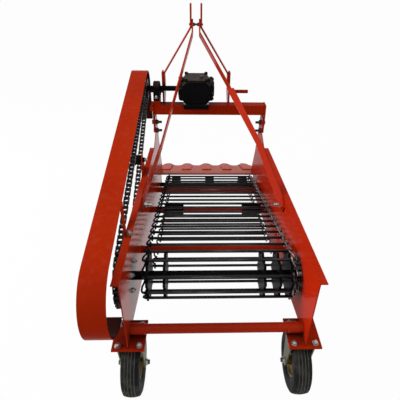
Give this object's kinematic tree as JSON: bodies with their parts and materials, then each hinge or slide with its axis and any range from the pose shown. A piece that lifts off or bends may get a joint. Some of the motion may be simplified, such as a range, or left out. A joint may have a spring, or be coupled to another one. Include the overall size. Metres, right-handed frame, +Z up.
{
  "type": "potato digger",
  "caption": "Mounted potato digger with a rod conveyor between side plates, toothed digging blade, guarded chain drive, gearbox, hitch mast and rigid casters.",
  "frame": {"origin": "on the ground, below the middle of the whole machine's box", "axes": "+Y forward to the tractor, +X to the machine's right, +Z up"},
  "size_m": [0.849, 2.134, 1.309],
  "materials": {
    "red_paint": "gloss",
    "black_casting": "painted satin",
    "black_steel": "satin",
    "chain_steel": "oiled",
    "pale_zinc": "zinc plated",
    "bright_steel": "plain",
    "yellow_zinc": "yellow passivated",
    "tyre_rubber": "matte"
  },
  "bodies": {
    "frame": {"side_plate_left": "red_paint", "side_plate_right": "red_paint", "cross_beam": "red_paint", "beam_leg_left": "red_paint", "beam_leg_right": "red_paint", "rear_tube": "red_paint", "cross_tube_rear": "red_paint", "cross_tube_middle": "red_paint", "cross_tube_front": "red_paint", "foot_plate_left": "red_paint", "foot_plate_right": "red_paint", "blade": "red_paint", "mast_left": "red_paint", "mast_right": "red_paint", "brace_left": "red_paint", "brace_right": "red_paint", "hitch_bracket_left": "red_paint", "hitch_bracket_right": "red_paint", "hitch_pin_left": "red_paint", "hitch_pin_right": "red_paint", "bearing_stand": "red_paint", "tensioner_bracket": "red_paint", "chain_guard": "red_paint", "guard_tab": "red_paint", "guard_stay": "red_paint", "gearbox": "black_casting", "gearbox_foot": "black_casting", "shaft_bearing": "black_casting", "drive_bearing_left": "black_casting", "drive_bearing_right": "black_casting", "output_shaft": "black_steel", "driver_sprocket": "black_steel", "driven_sprocket": "black_steel", "tensioner_roller": "black_steel", "conveyor_web": "black_steel", "drive_shaft": "black_steel", "front_idler": "black_steel", "support_rollers": "black_steel", "drive_chain": "chain_steel", "caster_fork_left": "pale_zinc", "caster_fork_right": "pale_zinc", "caster_axle_left": "bright_steel", "caster_axle_right": "bright_steel", "mast_spacer": "bright_steel", "pto_stub": "bright_steel"},
    "wheel_left": {"tyre_left": "tyre_rubber", "rim_left": "yellow_zinc"},
    "wheel_right": {"tyre_right": "tyre_rubber", "rim_right": "yellow_zinc"}
  },
  "joints": [
    {"name": "wheel_left_spin", "type": "hinge", "parent": "frame", "child": "wheel_left", "pos_m": [-0.3055, -0.911, 0.13], "axis": [1, 0, 0], "continuous": true},
    {"name": "wheel_right_spin", "type": "hinge", "parent": "frame", "child": "wheel_right", "pos_m": [0.3625, -0.911, 0.13], "axis": [1, 0, 0], "continuous": true}
  ]
}
